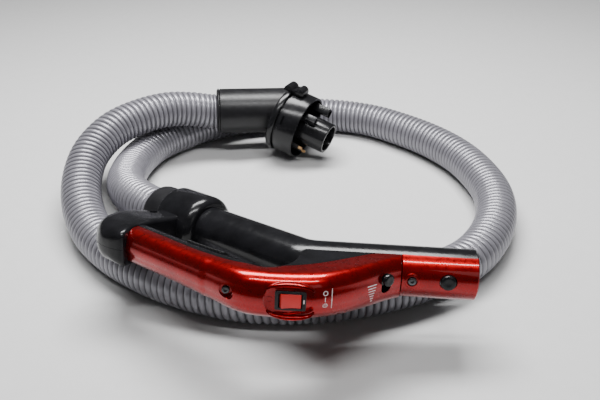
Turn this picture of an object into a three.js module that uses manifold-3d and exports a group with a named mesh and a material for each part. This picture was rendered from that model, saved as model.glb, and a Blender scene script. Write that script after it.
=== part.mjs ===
// Electrified hose assembly of a canister vacuum cleaner: handle, hose and machine-end connector.
// Millimetres, +Z up. The assembly lies on the plane z = 0, with its hose coiled in one and
// three-quarter turns, the handle on its side on the front of the coil and the connector behind.
import * as THREE from 'three';
import { mergeVertices } from 'three/addons/utils/BufferGeometryUtils.js';
import Module from 'manifold-3d';

const wasm = await Module();
wasm.setup();

// ---------------------------------------------------------------- driving dimensions
const GAP = 0.3;
const HOSE_R = 22;

// Handle, in its own frame: +X along the wand socket, -Y to the front cover, +Z sideways.
const HANDLE_PLACE = [19.5, -161.5, 71.2];
const HANDLE_TURN = { roll: -13, pitch: 2, yaw: -3 };
const SOCKET_END = 148;
const TUBE_R = 21.5;
const BORE_R = 16.5;
const BEND_X = 5;
const TUBE_ANGLE = 38.7;
const TUBE_END = 160.5;
const CUFF_BORE_R = 19.8;
const HOUSING = { start: 120.5, end: 168, r: 30.5 };
const CUFF = { start: 168.5, end: 192.5, r: 27, socketDepth: 17 };
const GRIP = { back: 58, front: 90, halfWidth: 18.6, edge: 10, wall: 2.6, narrowing: 0.87 };
const BRIDGE = { halfWidth: 18.4, tubeSide: 0.84, edge: 7 };
const NOSE = [[130, 94.4], [143, 99], [156, 99.6], [167, 96], [176, 88.5], [182.5, 78],
  [186, 65], [184.5, 51], [178, 38], [170, 28]];
const FINGER_HOLE_END = 136;
const BAND = { start: 84, r: 22, inner: 19.3 };

// Front outline of the handle and the seam behind the cover, as [x, height in front of the wand axis].
const FRONT = [[-48, 71], [-27, 76.5], [-4, 76.5], [20, 72], [38, 62], [55, 49], [70, 35.5], [84, 25]];
const SEAM = [[-52, 46], [-30, 51.5], [-7, 50], [14, 42], [32, 31.5], [49, 20], [62, 12.5], [76, 11]];

// Parts set in the cover: x is along the handle, v the height of the surface there.
const SWITCH = { x: -4.5, v: 76.5, length: 24, width: 15.6, depth: 19, pivotDepth: 3.5, throwAngle: 16 };
const DISH = { r: 21, depth: 1.5, floor: 5 };
const SLIDER = { x: 71, v: 34.7, tilt: 39, z: 5.2, slotLength: 17, slotWidth: 10.5 };
const BUTTON = { x: 123, r: 6.4 };
const COVER_SCREW = { x: -56, v: 65.5, recess: 5.4 };
const BAND_SCREW = { x: 93 };
const LEVER = { pivotX: 111, pivotV: 16.3, start: 99, end: 128, top: 18.8, halfWidth: 4 };

// Connector, in its own frame: +X out of the nozzle, the origin on the front face of its flange.
const CONNECTOR_PLACE = [3, 199, 46.6];
const CONNECTOR_TURN = { pitch: 14.5, yaw: -27.4 };
const FLANGE = { r: 42.5, thickness: 9 };
const DRUM = { r: 41, length: 28.5, wall: 3, recess: 15 };
const NOZZLE = { r: 19.6, bore: 16, end: 61 };
const ELBOW_REACH = 29;
const SLEEVE = { r: 28.3, length: 63, socketDepth: 18, bore: 17 };
const SLEEVE_AIM = [0.992, 0.12, -0.03];
const LATCH = { x: 5.5, z: 38.6, halfWidth: 8, floor: 41.6 };
const LATCH_LOBES = [[-5.5, 43.6, 7.2], [10.5, 46.6, 6.8]];
const KEY_ANGLE = -32;

// Centreline of the hose, from the handle's swivel cuff to the connector's sleeve.
const HOSE_ROUTE = [
  [-107.7, -47.6, 51.1], [-120.3, -36.7, 49.2], [-124.8, -32.8, 48.5], [-147, -8.5, 44.6],
  [-166, 22, 38.5], [-177, 53, 32], [-182, 85, 26], [-182, 116, 22.6], [-175, 148, 22],
  [-161, 179, 22], [-140, 204, 22], [-112, 230, 22], [-75, 253, 22], [-28, 267, 22],
  [21, 272, 22], [71, 267, 22], [116, 250, 22], [157, 218, 22], [191, 181, 22], [216, 139, 22],
  [231, 91, 22], [236, 45, 22], [229, -1, 22], [211, -45, 22], [182, -84, 22], [140, -112, 22],
  [97, -131, 22], [49, -144, 22], [-1, -148, 22], [-48, -141, 22], [-94, -123, 22],
  [-133, -99, 22], [-171, -65, 22], [-198, -29, 23.5], [-217, 13, 30], [-226, 57, 40],
  [-223, 95, 51.5], [-205, 132, 62.5], [-178, 160, 67], [-147, 182.5, 67], [-119, 195.5, 62],
  [-94.4, 203.2, 56.1], [-77.5, 205.2, 55.5], [-66.9, 206.5, 55.2],
];

// ---------------------------------------------------------------- helpers
const rad = THREE.MathUtils.degToRad;

// A closed geometry as a solid, with its faces turned outwards.
function solid(geometry) {
  let bare = geometry.clone();
  for (const name of Object.keys(bare.attributes)) {
    if (name !== 'position') bare.deleteAttribute(name);
  }
  bare = mergeVertices(bare, 1e-4);
  const place = bare.getAttribute('position').array;
  const corners = bare.index.array;
  const faces = [];
  let volume = 0;
  const [a, b, c] = [new THREE.Vector3(), new THREE.Vector3(), new THREE.Vector3()];
  for (let i = 0; i < corners.length; i += 3) {
    const [p, q, r] = [corners[i], corners[i + 1], corners[i + 2]];
    if (p === q || q === r || r === p) continue;
    faces.push(p, q, r);
    a.fromArray(place, 3 * p);
    b.fromArray(place, 3 * q);
    c.fromArray(place, 3 * r);
    volume += a.dot(b.cross(c));
  }
  if (volume < 0) faces.reverse();
  const mesh = new wasm.Mesh({
    numProp: 3,
    vertProperties: new Float32Array(place),
    triVerts: new Uint32Array(faces),
  });
  return new wasm.Manifold(mesh);
}

function geometryOf(body) {
  const mesh = body.getMesh();
  const geometry = new THREE.BufferGeometry();
  geometry.setAttribute('position', new THREE.BufferAttribute(new Float32Array(mesh.vertProperties), 3));
  geometry.setIndex(new THREE.BufferAttribute(new Uint32Array(mesh.triVerts), 1));
  return geometry;
}

function piece(name, body, color, roughness = 0.5, metalness = 0) {
  const material = new THREE.MeshStandardMaterial({ color, roughness, metalness });
  const mesh = new THREE.Mesh(geometryOf(body), material);
  mesh.name = name;
  return mesh;
}

const BLACK = [0x121214, 0.35];
const RED = [0xa80f18, 0.3, 0.35];
const STEEL = [0x8f9296, 0.35, 0.9];
const BRASS = [0xb08d57, 0.35, 0.9];
const RUBBER = [0x1d1d1f, 0.8];
const GREY = [0x8d8d95, 0.5];

const box = (x0, x1, y0, y1, z0, z1) => {
  const geometry = new THREE.BoxGeometry(x1 - x0, y1 - y0, z1 - z0);
  geometry.translate((x0 + x1) / 2, (y0 + y1) / 2, (z0 + z1) / 2);
  return solid(geometry);
};

// A solid of revolution about X: profile is [x, radius] pairs, closed on itself or on the axis.
const turned = (profile, sides = 32) => {
  const points = profile.map(([x, r]) => new THREE.Vector2(r, x));
  if (profile[0][1] > 0) points.push(points[0].clone());
  const geometry = new THREE.LatheGeometry(points, sides);
  geometry.rotateZ(-Math.PI / 2);
  return solid(geometry);
};

const rod = (x0, x1, r, sides = 32) => turned([[x0, 0], [x0, r], [x1, r], [x1, 0]], sides);
const ring = (x0, x1, r0, r1, sides = 32) => turned([[x0, r0], [x0, r1], [x1, r1], [x1, r0]], sides);

// A plate in the XY plane between z0 and z1; edge rounds its rim and inset shrinks its outline.
function plate(outline, z0, z1, edge = 0, inset = 0, rounds = 4) {
  const shape = new THREE.Shape(outline);
  const geometry = new THREE.ExtrudeGeometry(shape, {
    depth: z1 - z0 - 2 * edge,
    bevelEnabled: edge > 0 || inset !== 0,
    bevelThickness: edge || 0.001,
    bevelSize: edge || 0.001,
    bevelOffset: -edge - inset,
    bevelSegments: edge > 0 ? rounds : 1,
    steps: 1,
  });
  geometry.translate(0, 0, z0 + edge);
  return solid(geometry);
}

const ball = (r) => solid(new THREE.SphereGeometry(r, 32, 16));

const at = (body, x, y, z) => body.translate([x, y, z]);
const spin = (body, x, y, z) => body.rotate([x, y, z]);
const join = (...bodies) => bodies.reduce((sum, next) => sum.add(next));
const cut = (body, ...tools) => tools.reduce((rest, tool) => rest.subtract(tool), body);

// Smooth curve through [x, v] pairs of the handle's side view; v runs against +Y.
const sideCurve = (pairs, count) => {
  const points = pairs.map(([x, v]) => new THREE.Vector3(x, -v, 0));
  const curve = new THREE.CatmullRomCurve3(points, false, 'centripetal');
  return curve.getSpacedPoints(count).map((p) => new THREE.Vector2(p.x, p.y));
};

// Place in the side view from a distance along the hose tube and one in front of its axis.
const tubeDir = new THREE.Vector2(-Math.cos(rad(TUBE_ANGLE)), Math.sin(rad(TUBE_ANGLE)));
const tubeFront = new THREE.Vector2(-Math.sin(rad(TUBE_ANGLE)), -Math.cos(rad(TUBE_ANGLE)));
const onTube = (along, front) => new THREE.Vector2(
  BEND_X + tubeDir.x * along + tubeFront.x * front,
  tubeDir.y * along + tubeFront.y * front,
);
// A body made along +X, moved to the hose tube's axis.
const toTube = (body) => at(spin(body, 0, 0, 180 - TUBE_ANGLE), BEND_X, 0, 0);

// ---------------------------------------------------------------- handle bodies
const gripEnd = FINGER_HOLE_END + 13.5;
const frontLine = [
  onTube(gripEnd, GRIP.front),
  onTube(100, GRIP.front),
  ...sideCurve([[-78, 48.2], ...FRONT, [92, 21]], 26),
];

// Outline of the grip and of the swelling that carries the switch, closed through the tubes.
const handleOutline = [
  ...frontLine,
  new THREE.Vector2(92, 0),
  new THREE.Vector2(BEND_X, 0),
  onTube(0, 10),
  onTube(-12, 30),
  onTube(-12, GRIP.back - 8),
  onTube(-4, GRIP.back),
  onTube(gripEnd, GRIP.back),
];

// Whole handle front as one rounded body, narrower at the grip than at the switch.
function handleSolid(inset) {
  const whole = plate(handleOutline, -GRIP.halfWidth + inset, GRIP.halfWidth - inset, GRIP.edge, inset, 3);
  return whole.warp((vertex) => {
    const along = THREE.MathUtils.smoothstep(vertex[0], -110, -30);
    vertex[2] *= THREE.MathUtils.lerp(GRIP.narrowing, 1, along);
  });
}

// Everything in front of the seam, moved back by shift.
function coverRegion(shift) {
  const seam = [
    onTube(gripEnd + 20, 73 - shift),
    onTube(96, 73 - shift),
    ...sideCurve([[-84, 24 - shift], ...SEAM.map(([x, v]) => [x, v - shift]), [92, 11.5 - shift]], 18),
    new THREE.Vector2(SOCKET_END + 20, -11.5 + shift),
  ];
  return plate([...seam, new THREE.Vector2(SOCKET_END + 20, -130), new THREE.Vector2(-260, -130)], -40, 40);
}

const tubesGrown = (r) => join(
  rod(BEND_X, SOCKET_END + 5, r),
  toTube(rod(0, TUBE_END + 5, r)),
  at(ball(r), BEND_X, 0, 0),
);

// Space for the cup of a screw at the front: head recess and shank hole, along +Y.
const frontRod = (x, v0, v1, r, sides = 24) => at(spin(rod(0, v1 - v0, r, sides), 0, 0, -90), x, -v0, 0);

function airTube() {
  const outer = join(
    rod(BEND_X, SOCKET_END, TUBE_R),
    toTube(rod(0, TUBE_END, TUBE_R)),
    at(ball(TUBE_R), BEND_X, 0, 0),
  );
  const bore = join(
    rod(BEND_X, SOCKET_END + 5, BORE_R),
    toTube(rod(0, TUBE_END + 5, BORE_R)),
    toTube(rod(TUBE_END - 20, TUBE_END + 5, CUFF_BORE_R)),
    at(ball(BORE_R), BEND_X, 0, 0),
  );
  const coverSeat = ring(BAND.start - GAP, SOCKET_END + 5, BAND.inner - GAP, BAND.r + 5)
    .intersect(coverRegion(GAP));
  const slotHalf = LEVER.halfWidth + 0.6;
  const leverSlot = box(LEVER.start - 2, LEVER.end + 2, -BAND.r, -10, -slotHalf, slotHalf);
  const buttonPocket = frontRod(BUTTON.x, 25, 17.2, BUTTON.r + 0.6);
  const pinHole = acrossHandle(6.6, 1.1, LEVER.pivotX, LEVER.pivotV);
  const screwHole = frontRod(BAND_SCREW.x, 25, 17, 1.7, 16);
  return cut(outer, bore, coverSeat, leverSlot, buttonPocket, pinHole, screwHole);
}

// The cover's skin, split from the grip shell along the seam, with its dish and guard lips.
function coverBody() {
  const whole = handleSolid(0);
  const skin = cut(whole, handleSolid(GRIP.wall));
  const post = frontRod(COVER_SCREW.x, 90, 48, COVER_SCREW.recess + 1.8);
  const pad = frontRod(SWITCH.x, SWITCH.v + 3, SWITCH.v - DISH.floor, DISH.r + 2, 32);
  const front = join(skin, whole.intersect(join(post, pad))).intersect(coverRegion(0));
  const dish = frontRod(SWITCH.x, SWITCH.v + 5, SWITCH.v - DISH.depth, DISH.r, 32);
  return cut(
    join(cut(front, dish), guardLip(1), guardLip(-1)),
    tubesGrown(TUBE_R + GAP),
    box(BAND.start - GAP, SOCKET_END, -60, 60, -60, 60),
    switchHole(),
    sliderSlot(),
    frontRod(COVER_SCREW.x, 90, COVER_SCREW.v - 5, COVER_SCREW.recess),
    frontRod(COVER_SCREW.x, 90, 40, 1.9, 16),
  );
}

// Raised half ring round the mouth of the wand socket, held by its own screw.
function wandBand() {
  const half = ring(BAND.start, SOCKET_END, BAND.inner, BAND.r, 40).intersect(coverRegion(0));
  return cut(
    join(half, frontRod(BAND_SCREW.x, BAND.r + 1.6, BAND.inner + 0.6, 6.4)),
    frontRod(BUTTON.x, 30, 15, BUTTON.r + 0.5),
    frontRod(BAND_SCREW.x, 30, BAND.r - 0.6, 3.9),
    frontRod(BAND_SCREW.x, 30, 15, 1.9, 16),
  );
}

// Crescent guard beside the rocker, on the dish floor; side is +1 above it and -1 below it.
function guardLip(side) {
  const height = DISH.depth + 1.9;
  const shape = new THREE.Shape();
  shape.absellipse(0, 0, 18.5, 6.4, 0, Math.PI, false);
  shape.absellipse(0, 0, 17, 3.4, Math.PI, 0, true);
  const geometry = new THREE.ExtrudeGeometry(shape, { depth: height, bevelEnabled: false, curveSegments: 8 });
  geometry.rotateX(Math.PI / 2);
  geometry.scale(1, 1, side);
  const base = SWITCH.v - DISH.depth - 0.5;
  return at(solid(geometry), SWITCH.x, -base, side * (SWITCH.width / 2 + 0.9));
}

const switchHole = () => {
  const halfLength = SWITCH.length / 2 - 1 + GAP;
  const halfWidth = SWITCH.width / 2 - 1 + GAP;
  return box(SWITCH.x - halfLength, SWITCH.x + halfLength, -90, -50, -halfWidth, halfWidth);
};

// A body made in the slider's frame, +X out of the cover, moved to its place.
const toSlider = (body) => at(spin(body, 0, 0, SLIDER.tilt - 90), SLIDER.x, -SLIDER.v, 0);

// Oval across the cover: half is half its length and r the radius of its ends.
const oval = (x0, x1, half, r, z) => join(
  at(rod(x0, x1, r, 24), 0, 0, z + half - r),
  at(rod(x0, x1, r, 24), 0, 0, z - half + r),
  box(x0, x1, -r, r, z - half + r, z + half - r),
);

const sliderSlot = () => toSlider(oval(-7, 8, SLIDER.slotLength / 2, SLIDER.slotWidth / 2, 1.5));

// Tray behind the seam: the back of the grip and the side walls of the swelling.
function gripShell() {
  const tray = cut(handleSolid(0), coverRegion(GAP));
  const cavity = handleSolid(GRIP.wall).intersect(join(
    coverRegion(22),
    box(-60, 96, -80, -TUBE_R - 2, -30, 30),
  ));
  const post = frontRod(COVER_SCREW.x, 45, 25, 4.6).intersect(handleSolid(0));
  return cut(
    join(cut(tray, cavity), post),
    tubesGrown(TUBE_R + GAP),
    frontRod(COVER_SCREW.x, 50, 30, 1.9, 16),
    box(BAND.start - 6, 120, -60, 60, -60, 60),
  );
}

// Ribbed rubber strip over the back of the grip, where the fingers close.
function gripInsert() {
  const zone = toTube(box(34, 78, GRIP.back - 5, GRIP.back + 7, -25, 25));
  const grooves = [];
  for (let along = 38; along < 77; along += 7.2) {
    grooves.push(toTube(box(along, along + 1.8, GRIP.back - 6, GRIP.back + 8, -26, 26)));
  }
  const skin = cut(handleSolid(-1.3), handleSolid(-GAP)).intersect(zone);
  return cut(skin, join(...grooves).subtract(handleSolid(-0.8)));
}

// Yoke that joins the grip to the hose tube, whole; it is parted at z = 0 into two caps.
function bridgeSolid() {
  const { halfWidth, tubeSide, edge } = BRIDGE;
  const outline = [
    onTube(FINGER_HOLE_END, 12),
    onTube(FINGER_HOLE_END, 74),
    ...NOSE.map(([along, front]) => onTube(along, front)),
    onTube(167, 12),
  ];
  const body = plate(outline, -halfWidth, halfWidth, edge, 0, 3).warp((vertex) => {
    const front = (vertex[0] - BEND_X) * tubeFront.x + vertex[1] * tubeFront.y;
    const nose = 1 - 0.35 * THREE.MathUtils.smoothstep(front, 82, 104);
    vertex[2] *= nose * THREE.MathUtils.lerp(tubeSide, 1, THREE.MathUtils.smoothstep(front, 35, 62));
  });
  const gripPocket = handleSolid(-GAP).intersect(toTube(box(0, 150.4, 0, 120, -30, 30)));
  const hollow = toTube(box(153, 172, 44, 80, -11, 11));
  return cut(body, gripPocket, hollow, toTube(rod(100, 190, HOUSING.r + GAP)));
}

function bridgeCap(side) {
  const half = side > 0 ? box(-300, 300, -200, 300, 0.15, 60) : box(-300, 300, -200, 300, -60, -0.15);
  const head = toBridgeScrew(rod(11, 30, 3.6, 20));
  const shank = toBridgeScrew(rod(-9, 30, 1.8, 16));
  return cut(bridgeSolid().intersect(half), head, shank);
}

// A body made along +X, turned to point out of the upper cap over the bridge's screw.
const toBridgeScrew = (body) => {
  const place = onTube(160, 37);
  return at(spin(body, 0, -90, 0), place.x, place.y, 0);
};

// Collar on the end of the hose tube that keeps the swivel cuff in.
function swivelHousing() {
  const { start, end, r } = HOUSING;
  return toTube(turned([
    [start, TUBE_R + GAP], [start, r - 5], [start + 2, r - 1.6], [start + 6, r], [end - 2, r], [end, r - 1.5],
    [end, 23.8], [end - 2.2, 23.8], [end - 2.2, 25.9], [TUBE_END + GAP, 25.9], [TUBE_END + GAP, TUBE_R + GAP],
  ], 36));
}

function hoseCuff() {
  const { start, end, r, socketDepth } = CUFF;
  const floor = end - socketDepth;
  const neck = CUFF_BORE_R - GAP;
  return toTube(turned([
    [TUBE_END - 17, BORE_R + 0.1], [TUBE_END - 17, neck], [TUBE_END - 12, neck], [TUBE_END - 12, 17.8],
    [TUBE_END - 9, 17.8], [TUBE_END - 9, neck], [TUBE_END + 0.8, neck], [TUBE_END + 0.8, 25.4],
    [HOUSING.end - 2.7, 25.4], [HOUSING.end - 2.7, 23.4], [start, 23.4], [start, r - 0.8], [start + 1, r],
    [end - 2, r], [end, r - 1.4], [end, HOSE_R + 0.4], [floor, HOSE_R + 0.4], [floor, BORE_R + 0.1],
  ], 36));
}

const cuffSeal = () => toTube(turned([
  [TUBE_END - 11.6, 18.1], [TUBE_END - 11.6, 19.4], [TUBE_END - 9.4, 19.4], [TUBE_END - 9.4, 18.1],
], 32));

function switchFrame() {
  const { x, v, length, width, depth, pivotDepth } = SWITCH;
  const block = (halfLength, halfWidth, v0, v1) => (
    box(x - halfLength, x + halfLength, -v1, -v0, -halfWidth, halfWidth)
  );
  const flange = block(length / 2, width / 2, v - DISH.depth + GAP, v - 0.2);
  const body = block(length / 2 - 1, width / 2 - 1, v - depth, v - 1);
  const well = block(9.2, width / 2 - 1.8, v - 9, v + 3);
  return cut(join(flange, body), well, acrossHandle(7.5, 1.05, x, v - pivotDepth));
}

// Round bar along Z through a place in the side view.
const acrossHandle = (half, r, x, v) => at(spin(rod(-half, half, r, 16), 0, 90, 0), x, -v, 0);

// Rocker with a hollowed top, made level about its pivot and tipped to rest with its far end proud.
function rockerBody() {
  const outline = [
    [-8.2, 4.6], [-4.2, 3.9], [0, 3.6], [4.2, 3.9], [8.2, 4.6], [7.4, 0.6], [3, -3.6], [-3, -3.6], [-7.4, 0.6],
  ].map(([x, v]) => new THREE.Vector2(x, -v));
  const tipped = spin(plate(outline, -5.6, 5.6), 0, 0, SWITCH.throwAngle / 2);
  const v = SWITCH.v - SWITCH.pivotDepth;
  return cut(at(tipped, SWITCH.x, -v, 0), acrossHandle(8, 1.1, SWITCH.x, v));
}

const rockerPin = () => acrossHandle(6.5, 0.8, SWITCH.x, SWITCH.v - SWITCH.pivotDepth);

const sliderKnob = () => toSlider(at(
  turned([[-3.6, 0], [-3.6, 3.4], [0.6, 3.4], [1.6, 4.6], [3.6, 4.2], [4.2, 3.2], [4.2, 0]], 24),
  0,
  0,
  SLIDER.z,
));
const bleedShutter = () => toSlider(box(-5.2, -3.9, -6.4, 6.4, SLIDER.z - 6.5, SLIDER.z + 3.8));

function releaseButton() {
  const { r } = BUTTON;
  const foot = LEVER.top + GAP;
  const shape = turned([
    [foot, 0], [foot, 2.2], [foot + 1.4, 2.2], [foot + 1.4, r - 0.4], [foot + 1.8, r], [23.2, r], [23.9, r - 0.8],
    [24.25, 3.5], [24.25, 0],
  ], 24);
  return at(spin(shape, 0, 0, -90), BUTTON.x, 0, 0);
}

// See-saw under the button: it lifts its hook out of the bore when the button goes in.
function wandLever() {
  const { pivotX, pivotV, start, end, top, halfWidth } = LEVER;
  const outline = [
    [start, top - 1.8], [pivotX - 2, top - 1.8], [pivotX + 2, top], [end, top], [end, top - 1.6],
    [pivotX + 2, top - 1.6], [pivotX, top - 4], [pivotX - 2, top - 3.4], [start + 4, top - 3.4],
    [start + 3, 13.6], [start, 13.6],
  ].map(([x, v]) => new THREE.Vector2(x, -v));
  const barrel = acrossHandle(halfWidth, 1.9, pivotX, pivotV);
  return cut(join(plate(outline, -halfWidth, halfWidth), barrel), acrossHandle(9, 1.0, pivotX, pivotV));
}

const leverPin = () => acrossHandle(6.2, 0.75, LEVER.pivotX, LEVER.pivotV);

// Screw along +X from the top of its head at 0 to its point at -length, with a hexagon socket.
const screw = (length, head = 3.2, thick = 2) => cut(
  turned([[-length, 0], [-length + 1.2, 1.4], [-thick, 1.4], [-thick, head], [-0.5, head], [0, head - 0.5], [0, 0]], 20),
  rod(-1.2, 1, 1.3, 6),
);

const coverScrew = () => at(spin(screw(22), 0, 0, -90), COVER_SCREW.x, -(COVER_SCREW.v - 2.8), 0);
const bandScrew = () => at(spin(screw(6.6, 3.4, 1.4), 0, 0, -90), BAND_SCREW.x, -24.1, 0);

const bridgeScrew = () => toBridgeScrew(at(screw(21), 13.2, 0, 0));

const terminalBlock = () => cut(
  box(14, 34, -38, -25.5, -7, 7),
  box(12, 22, -35, -31, -5.2, -1.2),
  box(12, 22, -35, -31, 1.2, 5.2),
);

function switchLead(side) {
  const v = SWITCH.v - SWITCH.depth;
  const route = [[-8 + side * 2, v - 1], [-7, v - 6], [0, v - 14], [6, v - 21], [11.5, v - 24.5]];
  const points = route.map(([x, h], i) => new THREE.Vector3(x, -h, side * (4.6 - 0.35 * i)));
  const section = new THREE.Shape();
  section.absarc(0, 0, 1.2, 0, Math.PI * 2, false);
  return solid(new THREE.ExtrudeGeometry(section, {
    steps: 14,
    curveSegments: 4,
    extrudePath: new THREE.CatmullRomCurve3(points),
  }));
}

// ---------------------------------------------------------------- hose
function hoseTube() {
  const points = HOSE_ROUTE.map((p) => new THREE.Vector3(...p));
  const section = new THREE.Shape();
  section.absarc(0, 0, HOSE_R, 0, Math.PI * 2, false);
  return solid(new THREE.ExtrudeGeometry(section, {
    steps: 76,
    curveSegments: 6,
    extrudePath: new THREE.CatmullRomCurve3(points, false, 'centripetal'),
  }));
}

// ---------------------------------------------------------------- connector
const connectorTurn = new THREE.Matrix4().makeRotationFromEuler(
  new THREE.Euler(0, rad(CONNECTOR_TURN.pitch), rad(CONNECTOR_TURN.yaw), 'ZYX'),
);

// Direction of the sleeve in the connector's frame, and the angles that turn +X onto it.
const sleeveDir = new THREE.Vector3(...SLEEVE_AIM).normalize()
  .applyMatrix4(connectorTurn.clone().transpose());
const sleeveYaw = THREE.MathUtils.radToDeg(Math.atan2(sleeveDir.y, sleeveDir.x));
const sleevePitch = THREE.MathUtils.radToDeg(-Math.asin(sleeveDir.z));
const elbowX = -FLANGE.thickness - ELBOW_REACH + 9;
const toSleeve = (body) => at(spin(spin(body, 0, sleevePitch, 0), 0, 0, sleeveYaw), elbowX, 0, 0);

function elbow() {
  const { r, length, socketDepth, bore } = SLEEVE;
  const back = -FLANGE.thickness - GAP;
  const outer = join(
    toSleeve(turned([[-length, 0], [-length, r - 1.5], [-length + 1.5, r], [0, r], [0, 0]], 36)),
    at(ball(r), elbowX, 0, 0),
    toSleeve(rod(-2, 14, r)).intersect(box(elbowX - 40, back - 1.2, -60, 60, -60, 60)),
    rod(elbowX, back, r),
    turned([[back - 3.2, 0], [back - 3.2, r], [back - 1.6, r + 3], [back, r + 3], [back, 0]]),
    rod(back - 2, 5.5, NOZZLE.r + 3.1),
  );
  const inner = join(
    toSleeve(rod(-length - 5, -length + socketDepth, HOSE_R + 0.4)),
    toSleeve(rod(-length, 0, bore)),
    at(ball(bore), elbowX, 0, 0),
    rod(elbowX, 12, bore),
  );
  return cut(outer, inner);
}

// Lipped ring on the mouth of the sleeve.
const sleeveRing = () => toSleeve(turned([
  [-SLEEVE.length - 3.4, HOSE_R + 0.5], [-SLEEVE.length - 3.4, SLEEVE.r - 2.2],
  [-SLEEVE.length - 2.4, SLEEVE.r + 0.4], [-SLEEVE.length - GAP, SLEEVE.r + 0.4],
  [-SLEEVE.length - GAP, HOSE_R + 0.5],
], 36));

function swivelFlange() {
  const { r, thickness } = FLANGE;
  const body = turned([
    [-thickness, NOZZLE.r + 3.5], [-thickness, r - 2.5], [-thickness + 2.5, r], [-1.5, r], [-GAP, r - 1.2],
    [-GAP, NOZZLE.r + 3.5],
  ], 40);
  return cut(body, latchSlot());
}

// Slot across the top of the flange and drum in which the latch rocks.
const latchSlot = () => box(-FLANGE.thickness - 2, 13, -LATCH.halfWidth - 0.6, LATCH.halfWidth + 0.6, 35.6, 60);

function drumBody() {
  const { r, length, wall, recess } = DRUM;
  const body = turned([
    [0, NOZZLE.r + 3.5], [0, r - 2.2], [2.2, r - 2.2], [2.2, r], [length - 1, r], [length, r - 0.8],
    [length, r - wall], [length - recess, r - wall], [length - recess, NOZZLE.r + GAP], [6, NOZZLE.r + GAP],
    [6, NOZZLE.r + 3.5],
  ], 40);
  const pinHoles = PINS.map(([angle, radius]) => aroundAxis(rod(4, 20, 2.7, 16), angle, radius));
  const catchSlot = aroundAxis(box(6.8, 9.2, -5.6, 5.6, -1.6, 4), -70, DRUM.r - 1);
  return cut(body, latchSlot(), catchSlot, acrossLatch(12, 1.2, LATCH.x, LATCH.z), ...pinHoles);
}

const nozzle = () => turned([
  [6.3, NOZZLE.bore], [6.3, NOZZLE.r], [NOZZLE.end - 1, NOZZLE.r], [NOZZLE.end, NOZZLE.r - 0.9],
  [NOZZLE.end, NOZZLE.bore + 0.6], [NOZZLE.end - 0.8, NOZZLE.bore],
], 36);

// Angle about the nozzle's axis, 0 at the latch and growing towards +Y, with a radius.
const aroundAxis = (body, angle, radius) => spin(at(body, 0, 0, radius), -angle, 0, 0);
const PINS = [[-122, 28.5], [-160, 28.5], [38, 29.5]];
const PIN = { sleeveEnd: 33, tipEnd: 38.5 };

const pinSleeve = (angle, radius) => aroundAxis(
  turned([[6, 1.4], [6, 2.4], [PIN.sleeveEnd - 1, 2.4], [PIN.sleeveEnd, 2], [PIN.sleeveEnd, 1.4]], 16),
  angle,
  radius,
);
const pinTip = (angle, radius) => aroundAxis(
  turned([
    [7, 0], [7, 1.1], [PIN.sleeveEnd + 0.5, 1.1], [PIN.sleeveEnd + 0.5, 1.9], [PIN.tipEnd - 1, 1.9],
    [PIN.tipEnd, 1.2], [PIN.tipEnd, 0],
  ], 16),
  angle,
  radius,
);

const keyBlock = () => cut(
  aroundAxis(box(DRUM.length - DRUM.recess + GAP, 43, -4, 4.6, -5.4, 4), KEY_ANGLE, 26.5),
  rod(0, 60, NOZZLE.r + GAP),
);

// U-shaped guard over the upper contact pin.
const pinGuard = () => aroundAxis(cut(
  box(DRUM.length - DRUM.recess + GAP, 47, -6.4, 6.4, -5, 5.4),
  box(DRUM.length - DRUM.recess - 1, 50, -4.2, 4.2, -8, 3.4),
), PINS[2][0], PINS[2][1]);

const acrossLatch = (half, r, x, z) => at(spin(rod(-half, half, r, 24), 0, 0, 90), x, 0, z);
const latchPin = () => acrossLatch(11.6, 0.9, LATCH.x, LATCH.z);

// See-saw latch: a rounded lobe to press behind the flange and one over the drum, on a short web.
function latchLever() {
  const { x, z, halfWidth, floor } = LATCH;
  const [back, front] = LATCH_LOBES.map(([lobeX, height, r]) => acrossLatch(halfWidth, r, lobeX, height));
  const bar = box(LATCH_LOBES[0][0], LATCH_LOBES[1][0], -halfWidth, halfWidth, floor, floor + 5.6);
  const foot = box(LATCH_LOBES[1][0] - 5, LATCH_LOBES[1][0] + 5, -halfWidth, halfWidth, floor, floor + 5);
  const web = box(x - 3, x + 3, -halfWidth, halfWidth, z, floor + 2);
  const raised = join(back, front, bar, foot).intersect(box(-20, 30, -20, 20, floor, 60));
  const barrel = acrossLatch(halfWidth, 2.3, x, z);
  return cut(join(raised, web, barrel), acrossLatch(12, 1.15, x, z));
}

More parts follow.
